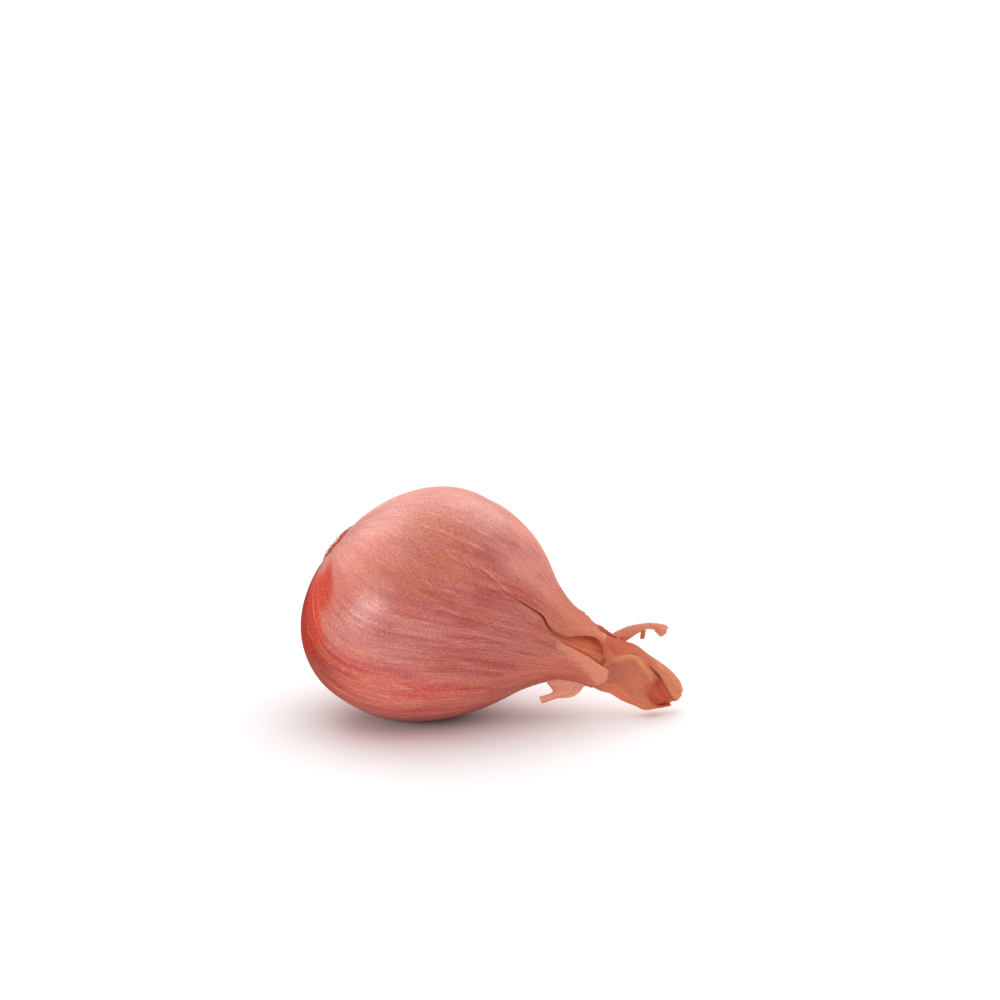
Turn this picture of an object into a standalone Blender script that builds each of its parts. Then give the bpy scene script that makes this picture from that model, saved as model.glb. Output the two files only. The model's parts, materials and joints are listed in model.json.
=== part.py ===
"""A shallot lying on its belly: bulb, split papery outer skin, withered neck and root plate.

Metres, +Z up.  The origin is the centre of the small flat spot under the belly, and +X runs
from the root end to the neck.  Places on the bulb are given as a distance along its curved
axis from the belly's centre (negative towards the roots) and an angle round it: 0 degrees
faces -Y, 90 is the top, 180 faces +Y and 270 is the underside.
"""
import math

import bmesh
import bpy
from mathutils import Vector

MM = 0.001

# ---- driving dimensions -------------------------------------------------------------------
BELLY_CENTRE = Vector((0.6, -0.2, 20.5)) * MM      # half a millimetre of the belly is pressed flat
BELLY_RADIUS = 21.2 * MM
ROOT_LENGTH = 16.54 * MM                           # belly centre to root pole
ROOT_ROUNDNESS = 2.12                              # exponent of the rounded root end
DIMPLE_DEPTH, DIMPLE_RADIUS = 0.5 * MM, 6.0 * MM   # the hollow round the root pole
# (distance along the axis, radius) in mm from the belly to the mouth; the first point mirrors
# the third, so that the profile is level at the belly.
PROFILE = ((-5.0, 20.95), (0.0, 21.2), (5.0, 20.95), (10.0, 19.4), (15.0, 16.7), (19.0, 13.5),
           (23.0, 9.4), (27.0, 6.7), (31.0, 5.9), (36.0, 5.4))
# (distance along the axis in mm, pitch in degrees): the axis slopes down towards the neck
AXIS_PITCH = ((-16.0, -34.0), (-6.0, -36.0), (4.0, -24.0), (14.0, -10.0), (24.0, -17.0),
              (34.0, -22.0))
NECK_YAW = math.radians(9.0)                       # and turns a little towards +Y
RING_PITCH_ROOT = math.radians(-39.0)              # the sections turn more evenly than the axis
RING_PITCH_NECK = math.radians(-17.0)
AXIS_STEP = 0.25 * MM
AXIS_REACH = 48 * MM                               # length of axis walked each way

SKIN_THICKNESS = 0.6 * MM
CLEARANCE = 0.3 * MM
ROOT_HOLE_ANGLE = math.radians(81.0)               # where the skin stops short of the root pole
SPLIT_START = 19.0 * MM                            # the skin is whole up to here
SKIN_COLUMNS = 50
ROOT_ROWS, SHOULDER_ROWS, SPLIT_ROWS = 14, 10, 13  # rows behind the belly, ahead of it, and split
SKIN_ROWS = ROOT_ROWS + SHOULDER_ROWS + SPLIT_ROWS

# (distance along the axis in mm, angle round it in degrees)
UPPER_LIP = ((19.0, 34.7), (21.6, 33.6), (23.2, 27.6), (25.6, 25.6), (28.4, 33.8), (31.0, 38.0),
             (33.2, 30.0), (34.2, 19.5), (35.0, 12.5))
LOWER_LIP = ((19.0, 34.7), (21.6, 32.2), (23.2, 25.2), (25.4, 18.0), (28.2, 13.4), (31.6, 7.5),
             (35.2, 0.0))
# (angle round the axis in degrees, distance along it in mm): the torn edge of the skin's mouth
MOUTH_EDGE = ((10.0, 35.0), (18.0, 35.6), (29.0, 35.0), (41.0, 33.6), (69.0, 30.9),
              (100.0, 32.2), (132.0, 34.8), (150.0, 36.2), (178.0, 35.2), (212.0, 33.0),
              (250.0, 31.6), (286.0, 31.8), (303.0, 33.6), (320.0, 34.6), (332.0, 35.5),
              (350.0, 35.4), (360.0, 35.2), (366.0, 34.6))
FLAP_LIFT = 0.5 * MM                               # how far the upper lip stands off the bulb
FAR_PINCH = 0.6 * MM                               # how far the mouth's far side sinks inwards

BULB_END = 32.2 * MM                               # along the axis, inside the mouth
BULB_ROUNDING = 2.0 * MM
BULB_SEGMENTS = 36

# The neck frame: x ahead, y towards -Y, z up, in mm from the centre of the skin's mouth.
MOUTH = 34.8
NECK_TOP = ((-2.2, -0.7, 3.7), (-0.3, -1.8, 3.5), (3.4, -2.4, 3.3), (6.7, -2.6, 2.1), (9.4, -2.9, 1.4),
            (12.2, -2.9, 0.1), (14.4, -2.8, -1.7))
NECK_BOTTOM = ((-2.2, 0.5, -4.4), (-0.6, 1.2, -5.2), (2.3, 1.2, -5.5), (4.7, 1.0, -5.8),
               (7.9, 0.2, -6.5), (10.9, -1.0, -6.8), (13.3, -1.9, -5.0))
NECK_HALF_THICKNESS = (3.4, 2.9, 2.2, 1.8, 1.7, 1.8, 1.6)
NECK_SIDES, NECK_STATIONS = 28, 20
NECK_WALL = 0.62                                   # share of the section left by the open end
NECK_HOLLOW_STATIONS = 4

# Torn strips of skin, each by its two long edges in the neck frame.  Their first points lie
# inside the skin that they grow from.
UPPER_SHRED = (((-3.0, -2.6, 4.85), (-0.8, -3.2, 4.5), (1.7, -4.4, 5.0), (3.5, -4.7, 6.1),
                (5.8, -4.9, 7.0), (7.6, -4.9, 7.5), (8.8, -4.9, 7.3)),
               ((-3.0, -4.75, 2.75), (-0.4, -4.7, 2.6), (2.2, -4.5, 3.1), (3.8, -4.7, 4.3),
                (5.6, -4.9, 5.8), (7.3, -4.9, 5.7), (8.3, -4.9, 5.4)))
LOWER_SHRED = (((-2.6, 3.4, -4.2), (-4.3, 3.5, -4.2), (-6.0, 3.65, -4.35), (-7.8, 3.9, -4.6),
                (-8.1, 4.9, -6.9), (-9.3, 5.9, -8.0)),
               ((-2.2, 3.6, -4.9), (-3.6, 4.2, -6.3), (-5.4, 4.6, -7.2), (-6.9, 4.9, -7.4),
                (-8.2, 5.7, -8.5), (-9.0, 6.3, -9.2)))

PLATE_RADIUS = 2.9 * MM
PLATE_DEPTH = 0.95 * MM
ROOT_STUBS = 17
STUB_LENGTH = 2.1 * MM
STUB_RADIUS = 0.34 * MM
STUB_SPLAY = math.radians(80.0)

SKIN_COLOUR = (0.55, 0.14, 0.11)
INNER_COLOUR = (0.50, 0.13, 0.06)
NECK_COLOUR = (0.56, 0.20, 0.07)
ROOT_COLOUR = (0.30, 0.16, 0.07)


# ---- the bulb's form ----------------------------------------------------------------------
def smooth(value):
    value = min(max(value, 0.0), 1.0)
    return value * value * (3.0 - 2.0 * value)


def through(points, x):
    """A smooth curve through (x, y) points, level beyond both ends."""
    if x <= points[0][0]:
        return points[0][1]
    if x >= points[-1][0]:
        return points[-1][1]
    index = next(i for i in range(1, len(points)) if x <= points[i][0])
    before, start, stop, after = (points[max(index - 2, 0)], points[index - 1], points[index],
                                  points[min(index + 1, len(points) - 1)])
    span = stop[0] - start[0]
    slope_in = (stop[1] - before[1]) / (stop[0] - before[0]) * span
    slope_out = (after[1] - start[1]) / (after[0] - start[0]) * span
    t = (x - start[0]) / span
    return ((2 * t ** 3 - 3 * t ** 2 + 1) * start[1] + (t ** 3 - 2 * t ** 2 + t) * slope_in
            + (3 * t ** 2 - 2 * t ** 3) * stop[1] + (t ** 3 - t ** 2) * slope_out)


def direction(pitch, yaw):
    return Vector((math.cos(pitch) * math.cos(yaw), math.cos(pitch) * math.sin(yaw), math.sin(pitch)))


def walk_axis(sign):
    """Axis points from the belly's centre outwards, one every AXIS_STEP."""
    point = BELLY_CENTRE.copy()
    walked = [point.copy()]
    for step in range(round(AXIS_REACH / AXIS_STEP)):
        s = sign * (step + 0.5) * AXIS_STEP / MM
        pitch = math.radians(through(AXIS_PITCH, s))
        point = point + sign * AXIS_STEP * direction(pitch, NECK_YAW * smooth((s + 10.0) / 22.0))
        walked.append(point.copy())
    return walked


AHEAD, BEHIND = walk_axis(1), walk_axis(-1)


def axis_point(s):
    walked = AHEAD if s >= 0 else BEHIND
    place = abs(s) / AXIS_STEP
    index = min(int(place), len(walked) - 2)
    return walked[index].lerp(walked[index + 1], place - index)


def ring_frame(s):
    """Along, towards -Y and up, for the section at s."""
    turn = smooth((s / MM + 14.0) / 45.0)
    along = direction(RING_PITCH_ROOT + (RING_PITCH_NECK - RING_PITCH_ROOT) * turn, NECK_YAW * turn)
    side = along.cross(Vector((0, 0, 1))).normalized()
    return along, side, side.cross(along)


def radius(s):
    if s < 0:
        left = max(1.0 - abs(s / ROOT_LENGTH) ** ROOT_ROUNDNESS, 0.0)
        return BELLY_RADIUS * left ** (1.0 / ROOT_ROUNDNESS)
    return through(PROFILE, s / MM) * MM


def surface_point(s, degrees, inset=0.0, scale=1.0):
    """A point on the bulb's surface, inset along its normal and flat where it would pass the floor."""
    nudge = 0.01 * MM
    low, high = max(s - nudge, -ROOT_LENGTH), s + nudge
    slope = (radius(high) - radius(low)) / (high - low)
    normal_length = math.sqrt(1.0 + slope * slope)
    at = s + inset * slope / normal_length
    if s < 0:
        at += DIMPLE_DEPTH * smooth(1.0 - radius(s) / DIMPLE_RADIUS)
    r = (radius(s) - inset / normal_length) * scale
    _, side, up = ring_frame(at)
    angle = math.radians(degrees)
    point = axis_point(at) + r * (math.cos(angle) * side + math.sin(angle) * up)
    point.z = max(point.z, inset)
    return point


def row_distance(row, end, root_angle):
    """How far along the axis a row lies: even steps over the round root end, then on to end."""
    if row < ROOT_ROWS:
        return -ROOT_LENGTH * math.sin(root_angle * (1.0 - row / ROOT_ROWS))
    row -= ROOT_ROWS
    if row < SHOULDER_ROWS:
        return SPLIT_START * row / SHOULDER_ROWS
    return SPLIT_START + (end - SPLIT_START) * (row - SHOULDER_ROWS) / SPLIT_ROWS


def neck_point(ahead, side_offset, up_offset):
    along, side, up = ring_frame(MOUTH * MM)
    return axis_point(MOUTH * MM) + (ahead * along + side_offset * side + up_offset * up) * MM


# ---- helpers ------------------------------------------------------------------------------
def material(name, colour, roughness):
    made = bpy.data.materials.new(name)
    made.use_nodes = True
    shader = made.node_tree.nodes["Principled BSDF"]
    shader.inputs["Base Color"].default_value = (*colour, 1.0)
    shader.inputs["Roughness"].default_value = roughness
    shader.inputs["Metallic"].default_value = 0.0
    return made


def object_from(mesh_builder, name, collection, finish=None):
    bmesh.ops.recalc_face_normals(mesh_builder, faces=mesh_builder.faces)
    mesh = bpy.data.meshes.new(name)
    mesh_builder.to_mesh(mesh)
    mesh_builder.free()
    mesh.shade_smooth()
    thing = bpy.data.objects.new(name, mesh)
    collection.objects.link(thing)
    if finish:
        mesh.materials.append(finish)
    return thing


def solidify(thing):
    shell = thing.modifiers.new("thickness", "SOLIDIFY")
    shell.thickness = SKIN_THICKNESS
    shell.offset = -1.0
    return shell


def hide_tool(thing):
    thing.hide_render = True
    thing.display_type = "WIRE"


# ---- the four pieces ----------------------------------------------------------------------
def skin_angle(column_share, s):
    """The angle of a column: the columns run from the upper lip right round to the lower lip."""
    upper = through(UPPER_LIP, s / MM)
    lower = through(LOWER_LIP, s / MM) + 360.0
    return upper + (lower - upper) * column_share


def skin_end(column_share):
    """Where a column meets the torn edge of the mouth."""
    end = MOUTH
    for _ in range(12):
        end = through(MOUTH_EDGE, skin_angle(column_share, end * MM))
    return end * MM


def skin_lift(column_share, s):
    """The upper lip stands off the bulb near its tip, and the far side of the mouth sinks in."""
    near_lip = smooth(1.0 - column_share / 0.12)
    far_side = smooth((column_share - 0.1) / 0.15) * smooth((0.55 - column_share) / 0.15)
    return (FLAP_LIFT * near_lip * smooth((s / MM - 24.0) / 8.0)
            - FAR_PINCH * far_side * smooth((s / MM - 33.5) / 2.5))


def make_outer_skin(collection, tools):
    sheet = bmesh.new()
    bmesh.ops.create_grid(sheet, x_segments=SKIN_COLUMNS, y_segments=SKIN_ROWS, size=0.5)
    ends = [skin_end(column / SKIN_COLUMNS) for column in range(SKIN_COLUMNS + 1)]
    for vertex in sheet.verts:
        share = vertex.co.x + 0.5
        row = round((vertex.co.y + 0.5) * SKIN_ROWS)
        s = row_distance(row, ends[round(share * SKIN_COLUMNS)], ROOT_HOLE_ANGLE)
        vertex.co = surface_point(s, skin_angle(share, s), -skin_lift(share, s))
        vertex.co.z = max(vertex.co.z, 0.0)
    bmesh.ops.remove_doubles(sheet, verts=sheet.verts, dist=0.01 * MM)
    skin = object_from(sheet, "outer_skin", collection, material("outer_skin", SKIN_COLOUR, 0.42))
    solidify(skin)
    for name, edges in (("upper_shred", UPPER_SHRED), ("lower_shred", LOWER_SHRED)):
        shred = make_shred(name, edges, tools)
        join = skin.modifiers.new(name, "BOOLEAN")
        join.operation = "UNION"
        join.object = shred
    return skin


def edge_point(edge, place):
    """A point on a smooth curve through an edge's points; place counts along them."""
    return neck_point(*[through([(i, point[k]) for i, point in enumerate(edge)], place)
                        for k in range(3)])


def make_shred(name, edges, tools):
    """A narrow torn strip between its two long edges, with the skin's thickness."""
    spans = len(edges[0]) - 1
    strip = bmesh.new()
    bmesh.ops.create_grid(strip, x_segments=3 * spans, y_segments=2, size=0.5)
    for vertex in strip.verts:
        place = (vertex.co.x + 0.5) * spans
        top, bottom = edge_point(edges[0], place), edge_point(edges[1], place)
        vertex.co = top.lerp(bottom, vertex.co.y + 0.5)
    shred = object_from(strip, name, tools)
    shell = solidify(shred)
    shell.offset = 0.0
    hide_tool(shred)
    return shred


def make_bulb(collection):
    ball = bmesh.new()
    bmesh.ops.create_uvsphere(ball, u_segments=BULB_SEGMENTS, v_segments=SKIN_ROWS, radius=1.0)
    inset = SKIN_THICKNESS + CLEARANCE
    for vertex in ball.verts:
        row = SKIN_ROWS * (0.5 + math.asin(max(-1.0, min(1.0, vertex.co.z))) / math.pi)
        s = row_distance(row, BULB_END, math.pi / 2)
        rounding = math.sqrt(max(1.0 - smooth((s - BULB_END + BULB_ROUNDING) / BULB_ROUNDING) ** 2, 0.0))
        degrees = math.degrees(math.atan2(vertex.co.y, vertex.co.x))
        vertex.co = surface_point(s, degrees, inset, rounding)
    return object_from(ball, "bulb", collection, material("bulb", INNER_COLOUR, 0.4))


def neck_ring(place, shrink=1.0):
    """One section of the withered neck; place counts along its listed edges."""
    top, bottom = edge_point(NECK_TOP, place), edge_point(NECK_BOTTOM, place)
    step = 0.05
    ahead = edge_point(NECK_TOP, place + step) + edge_point(NECK_BOTTOM, place + step)
    behind = edge_point(NECK_TOP, place - step) + edge_point(NECK_BOTTOM, place - step)
    centre, half = (top + bottom) / 2, (top - bottom) / 2
    thickness = through(list(enumerate(NECK_HALF_THICKNESS)), place) * MM
    face = (ahead - behind).cross(half).normalized() * thickness
    ring = []
    for i in range(NECK_SIDES):
        angle = 2 * math.pi * i / NECK_SIDES
        crease = 1.0 - 0.28 * smooth(place / 3.0) * math.cos(2 * angle - 0.6) ** 2
        ring.append(centre + shrink * (math.cos(angle) * half + math.sin(angle) * crease * face))
    return ring


def make_neck(collection):
    last = len(NECK_TOP) - 1.0
    outside = [neck_ring(last * i / NECK_STATIONS) for i in range(NECK_STATIONS + 1)]
    hollow = [neck_ring(last - 0.45 * i, NECK_WALL * (1.0 - 0.06 * i))
              for i in range(NECK_HOLLOW_STATIONS)]
    loft = bmesh.new()
    rings = [[loft.verts.new(point) for point in ring] for ring in outside + hollow]
    for ring, after in zip(rings, rings[1:]):
        for i in range(NECK_SIDES):
            j = (i + 1) % NECK_SIDES
            loft.faces.new((ring[i], ring[j], after[j], after[i]))
    for cap in (rings[0], rings[-1]):
        bmesh.ops.contextual_create(loft, geom=cap)
    bmesh.ops.triangulate(loft, faces=[face for face in loft.faces if len(face.verts) > 4])
    for vertex in loft.verts:
        vertex.co.z = max(vertex.co.z, 0.0)
    return object_from(loft, "neck", collection, material("neck", NECK_COLOUR, 0.7))


def make_root_plate(collection, tools):
    """A corky disc set in the skin's root hole, with short splayed root stubs fused to it."""
    along, side, up = ring_frame(-ROOT_LENGTH)
    outward = -along
    turn = outward.to_track_quat("Z", "Y")
    inner_face = axis_point(-ROOT_LENGTH) - outward * (DIMPLE_DEPTH + SKIN_THICKNESS)
    disc = bmesh.new()
    bmesh.ops.create_cone(disc, cap_ends=True, segments=24, radius1=PLATE_RADIUS,
                          radius2=PLATE_RADIUS * 0.86, depth=PLATE_DEPTH)
    plate = object_from(disc, "root_plate", collection, material("root_plate", ROOT_COLOUR, 0.9))
    plate.location = inner_face + outward * PLATE_DEPTH / 2
    plate.rotation_euler = turn.to_euler()
    stubs = bpy.data.collections.new("root_stubs")
    tools.children.link(stubs)
    for i in range(ROOT_STUBS):
        golden = i * math.radians(137.5)
        reach = PLATE_RADIUS * 0.62 * math.sqrt((i + 0.5) / ROOT_STUBS)
        cone = bmesh.new()
        bmesh.ops.create_cone(cone, cap_ends=True, segments=6, radius1=STUB_RADIUS,
                              radius2=STUB_RADIUS * 0.5, depth=STUB_LENGTH)
        bmesh.ops.translate(cone, verts=cone.verts, vec=(0, 0, STUB_LENGTH * 0.38))
        stub = object_from(cone, f"root_stub_{i:02d}", stubs)
        spread = math.cos(golden) * side + math.sin(golden) * up
        splay = STUB_SPLAY * (0.35 + 0.65 * (reach / (PLATE_RADIUS * 0.62)))
        heading = math.cos(splay) * outward + math.sin(splay) * spread
        stub.rotation_euler = heading.to_track_quat("Z", "Y").to_euler()
        stub.location = plate.location + outward * (PLATE_DEPTH * 0.5 - 0.05 * MM) + spread * reach
        hide_tool(stub)
    join = plate.modifiers.new("root_stubs", "BOOLEAN")
    join.operation = "UNION"
    join.operand_type = "COLLECTION"
    join.collection = stubs
    return plate


def main():
    for thing in list(bpy.data.objects):
        bpy.data.objects.remove(thing, do_unlink=True)
    scene = bpy.context.scene
    shallot = bpy.data.collections.new("shallot")
    tools = bpy.data.collections.new("joining_shapes")
    scene.collection.children.link(shallot)
    scene.collection.children.link(tools)
    make_bulb(shallot)
    make_outer_skin(shallot, tools)
    make_neck(shallot)
    make_root_plate(shallot, tools)


main()
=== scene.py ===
"""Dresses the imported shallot: dry skin, inner scale, withered neck, torn strips and root plate.

Places on the bulb are given in millimetres along its curved axis from the belly's centre
(negative towards the roots) and in degrees round it: 0 faces -Y, 90 is the top, 180 faces +Y
and 270 is the underside.  Points are in millimetres in the solids' frame until a mesh is made.
"""

import json
from math import asin, cos, exp, hypot, pi, radians, sin, sqrt

import bmesh
import bpy
from bpy.props import FloatProperty, FloatVectorProperty, IntProperty, PointerProperty
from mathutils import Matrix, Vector, noise

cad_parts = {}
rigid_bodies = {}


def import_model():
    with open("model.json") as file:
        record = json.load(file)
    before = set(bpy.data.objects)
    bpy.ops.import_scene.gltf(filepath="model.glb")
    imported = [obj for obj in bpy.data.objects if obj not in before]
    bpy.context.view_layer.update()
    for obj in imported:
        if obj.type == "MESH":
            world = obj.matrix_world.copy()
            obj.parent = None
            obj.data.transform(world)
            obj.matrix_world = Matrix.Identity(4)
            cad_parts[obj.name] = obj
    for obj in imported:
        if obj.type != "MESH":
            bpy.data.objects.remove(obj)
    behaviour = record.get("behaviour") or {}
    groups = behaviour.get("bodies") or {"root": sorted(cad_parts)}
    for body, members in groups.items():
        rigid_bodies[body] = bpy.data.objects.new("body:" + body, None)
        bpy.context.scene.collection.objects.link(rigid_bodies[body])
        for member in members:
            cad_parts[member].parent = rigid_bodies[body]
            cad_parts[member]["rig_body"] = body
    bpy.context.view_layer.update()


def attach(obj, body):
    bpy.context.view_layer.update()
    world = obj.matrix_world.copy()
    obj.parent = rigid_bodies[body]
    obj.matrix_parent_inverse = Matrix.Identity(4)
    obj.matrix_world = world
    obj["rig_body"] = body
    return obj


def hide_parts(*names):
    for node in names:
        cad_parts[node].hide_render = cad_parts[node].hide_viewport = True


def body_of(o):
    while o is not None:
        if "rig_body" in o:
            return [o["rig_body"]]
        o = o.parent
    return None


bl_info = {
    "name": "Shallot dresser",
    "version": (1, 0, 0),
    "blender": (4, 5, 0),
    "location": "3D View > Sidebar > Shallot",
    "description": "Makes a shallot's dry skin, inner scale, withered neck and roots on its solids",
    "category": "Object",
}

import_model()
MM = 0.001

# ---- the bulb's form, the same as the solids' ----
BELLY_CENTRE = Vector((0.6, -0.2, 20.5))
BELLY_RADIUS = 21.2
ROOT_LENGTH = 16.54
ROOT_ROUNDNESS = 2.12
DIMPLE_DEPTH, DIMPLE_RADIUS = 0.5, 6
PROFILE = ((-5, 20.95), (0, 21.2), (5, 20.95), (10, 19.4), (15, 16.7), (19, 13.5), (23, 9.4),
           (27, 6.7), (31, 5.9), (36, 5.4))
AXIS_PITCH = ((-16, -34), (-6, -36), (4, -24), (14, -10), (24, -17), (34, -22))
NECK_YAW = radians(9)
RING_PITCH_ROOT, RING_PITCH_NECK = radians(-39), radians(-17)
AXIS_STEP, AXIS_REACH = 0.25, 48
SLOPE_STEP = 0.01
ROOT_HOLE_ANGLE = radians(81)
MOUTH = 34.8

# ---- the skin's split, mouth and marks: (distance along, angle) ----
SPLIT_START = 14.6
UPPER_LIP = ((14.6, 36.6), (16.4, 35.9), (18, 35.4), (19.4, 35), (20.9, 34.9), (21.9, 33),
             (22.6, 29.6), (23.4, 27.4), (24.6, 25.9), (25.9, 25.9), (27.2, 28.6), (28.1, 33),
             (29.4, 37.5), (30.4, 39.8), (31.2, 40.6), (31.8, 38.8), (32.3, 35.4), (32.8, 30.5),
             (33.2, 24.5), (33.45, 19.5), (33.7, 16), (34.3, 14.2))
LOWER_LIP = ((14.6, 36.6), (16.4, 35.6), (18, 35), (19.4, 34.5), (20.9, 34.1), (21.9, 31.9),
             (22.6, 28.2), (23.9, 23.2), (25.4, 18), (27, 14.7), (28.2, 13.5), (29.9, 10.5),
             (31.6, 7.5), (33.2, 2.8), (34.7, -1))
# How far the skin is lifted beside each lip: (distance along, height).
UPPER_LIFT = ((14.6, 0), (17, 0.1), (21, 0.22), (24, 0.25), (28, 0.45), (31, 0.7), (35, 1.15))
LOWER_LIFT = ((14.6, 0), (17, -0.05), (21, -0.1), (25, 0), (30, 0.15), (35, 0.3))
# The raised hair line that runs on from the split towards the belly.
SEAM_LINE = ((3, 46.4), (4.2, 46), (9, 43.5), (12, 39.8), (14.6, 36.6))
# The torn edge of the mouth: (angle, distance along).
MOUTH_EDGE = ((13, 33.9), (15.5, 34.3), (18.5, 34.7), (22, 35), (29, 34.8), (37, 33.8), (45, 33),
              (54, 32.4), (63, 31.8), (72, 31.1), (81, 30.1), (90, 29.3), (101, 28.8),
              (113, 28.8), (127, 29.7), (141, 31.4), (154, 33.4), (178, 35), (212, 33),
              (250, 31.6), (286, 31.8), (303, 33.6), (320, 34.6), (332, 35.3), (350, 35.4),
              (359, 35), (366, 34.5))
# Where the red round the roots ends: (angle, distance along the skin itself).
RED_EDGE = ((-100, -9), (-60, -9), (-42, -8.3), (-28, -10), (-18, -11.2), (-10, -12), (-5, -14),
            (1, -17.5), (8, -25))
# How wide the dry tan margin is below the lower lip: (distance along, width in mm).
CUFF_WIDTH = ((24, 0), (26, 1.3), (29, 2.1), (32, 3), (34, 4.6), (35.2, 7))
# Single light veins.
LIGHT_VEINS = (((6, 1.5), (9, 6), (11.5, 12), (14, 20.5), (17.5, 30)),
               ((7, 4), (12, 8.5), (19, 9.5), (24, 6)),
               ((-6, -36), (0, -29), (6, -24), (12, -19)),
               ((-9, 62), (-2, 64.5), (5, 64), (12, 60)),
               ((-3, 27), (3, 28.5), (9, 27)),
               ((-8, -22), (0, -15.5), (8, -7), (14, -5.5)),
               ((2, -44), (10, -34), (18, -31), (26, -38)))
VEIN_STRENGTH, SEAM_STRENGTH, VEIN_WIDTH = 1.1, 2.2, 0.17
# Oval patches: strength, middle (distance along, angle), half length and half turn.
# A painted highlight: the pale patch on the upper side of the root end.
PAINTED_HIGHLIGHT_PATCH = (0.95, -14, 28, 10.5, 62)
ORANGE_PATCHES = ((1.4, -3, 46, 14, 38), (0.6, -8, 160, 14, 50), (0.5, 6, -110, 16, 40))
MOST_ORANGE = 0.8
RED_PATCHES = ((0.3, 5, -25, 13, 15), (0.6, -4, -160, 16, 50))
# Painted light: patches where the skin's colours are made lighter.
PAINTED_LIGHT_PATCHES = ((1.3, 10, -34, 17, 32), (0.5, -6, 72, 9, 30), (0.9, 25, -20, 9, 30))
DULL_PATCH = (0.5, 2, 50, 14, 26)

# ---- the withered neck: x ahead, y towards -Y, z up, from the centre of the mouth ----
NECK_TOP = ((-2.2, -0.7, 3.7), (-0.3, -1.7, 3.6), (2.5, -2.1, 3.45), (4.3, -2.4, 3.25),
            (6.5, -2.6, 2.35), (9.2, -2.8, 1.4), (11, -2.9, 0.7), (13.1, -2.9, -0.6),
            (14.2, -2.9, -1.8))
NECK_BOTTOM = ((-2.2, 0.5, -4.4), (-1, 1.1, -5.1), (0.6, 1.2, -5.4), (2.2, 1.2, -5.35),
               (4.5, 1, -6), (7, 0.5, -6.4), (8.8, 0, -6.75), (10.4, -1, -6.4),
               (12.6, -2, -5.3))
NECK_HALF_THICKNESS = (3.3, 2.9, 2.5, 2.2, 1.9, 1.8, 1.8, 1.8, 1.6)
# Lines across the neck's near face: (station, share of the way from the top edge down).
RIDGE_LINE = ((0, 0.62), (1.2, 0.46), (2.4, 0.3), (3.2, 0.24), (4.2, 0.32), (5, 0.45),
              (5.6, 0.62))
KEEL_LINE = ((0, 0.93), (2, 0.86), (4, 0.84), (6, 0.88), (8, 0.9))
CREASE_LINE = ((4.2, 0.2), (5, 0.26), (5.7, 0.31), (6.6, 0.42), (7.5, 0.55), (8, 0.62))
# The sunken mouth of the neck: (share down, station where its near rim lies).
NECK_MOUTH = ((0.25, 5.2), (0.4, 4.6), (0.55, 4.3), (0.68, 4.5), (0.78, 5.2), (0.86, 6.5),
              (0.92, 8.4))
# The short slit beside the ridge: station, share down, and how far it slopes per station.
SLIT_STATION, SLIT_DOWN, SLIT_SLOPE = 2.9, 0.20, -0.05

# ---- torn strips, by their two long edges, in the neck's frame ----
UPPER_SHRED = (((-0.46, -3.2, 3.28), (0.24, -3.6, 4.12), (0.98, -4, 4.68), (2.28, -4.4, 5.62),
                (3.69, -4.7, 6.3), (5.3, -4.9, 6.96), (6.8, -4.9, 7.33), (8.09, -4.8, 7.52),
                (8.78, -4.6, 7.35)),
               ((0.01, -3, 2.93), (0.97, -3.3, 2.97), (1.97, -3.6, 2.86), (2.9, -4, 3.55),
                (4, -4.4, 4.86), (5.28, -4.7, 5.89), (6.47, -4.8, 6.1), (7.95, -4.7, 5.38),
                (8.72, -4.5, 6.27)))
DANGLING_BIT = (((4.4, -4.72, 5.5), (4.62, -4.7, 4.56), (4.67, -4.65, 4.16), (4.9, -4.6, 3.93)),
                ((5.17, -4.77, 6), (5.29, -4.75, 5.04), (5.38, -4.7, 4.52), (5.32, -4.65, 4.01)))
FAR_FOLD = (((-4.9, -1.7, 4.8), (-3.9, -2, 4.75), (-3, -2.4, 4.75), (-1.9, -2.6, 4.4),
             (-0.8, -2.4, 4.05), (0.5, -2, 3.8), (1.5, -1.7, 3.3)),
            ((-4.4, 0.2, 4), (-3.25, -0.2, 3.45), (-2.05, -0.8, 3.1), (-0.9, -1.2, 2.8),
             (0, -1.4, 2.65), (0.8, -1.5, 2.6), (1.6, -1.6, 2.65)))
LOWER_SHRED = (((-2.6, 3.2, -4.1), (-4.5, 3.4, -4.2), (-6.7, 3.5, -4.5), (-9, 4.1, -5.5),
                (-7.5, 4.8, -6.85), (-9.5, 5.8, -8.15)),
               ((-2.7, 3.4, -4.85), (-3.2, 4.1, -5.9), (-4.1, 4.5, -6.85), (-5.4, 4.8, -7.35),
                (-6.5, 5.1, -7.65), (-8.8, 6.1, -9)))
# Each strip's piece name, its edges, how far it curls, and its painted light, painted glow and
# painted shade.
SHREDS = (("shred_upper", UPPER_SHRED, 0.35, (0.5, 0.15, 0)),
          ("shred_dangling", DANGLING_BIT, 0.12, (0.2, 0.3, 0.3)),
          ("shred_far_fold", FAR_FOLD, -0.3, (0.1, 0, 0.75)),
          ("shred_lower", LOWER_SHRED, 0.25, (0.9, 0, 0)))

# ---- how finely each piece is made, in quads ----
SKIN_COLUMNS, SKIN_ROWS, BEHIND_ROWS, SHOULDER_ROWS = 220, 168, 54, 46
COLUMN_CROWDING = 0.115
BULB_COLUMNS, BULB_ROWS, BULB_BEHIND_ROWS, BULB_RIM_ROW = 144, 150, 40, 132
NECK_COLUMNS, NECK_ROWS = 150, 170
SHRED_COLUMNS_PER_SPAN, SHRED_ROWS = 18, 18
DISC_COLUMNS, DISC_ROWS = 72, 30
ROOT_SIDES, ROOT_JOINTS, GOLDEN_TURN = 5, 8, radians(137.5)
MOUTH_ROUNDS = 12
# One unit of texture place, in mm, across the fibres and along them.
FIBRE_ROUND, FIBRE_ALONG = 21, 20
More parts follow.
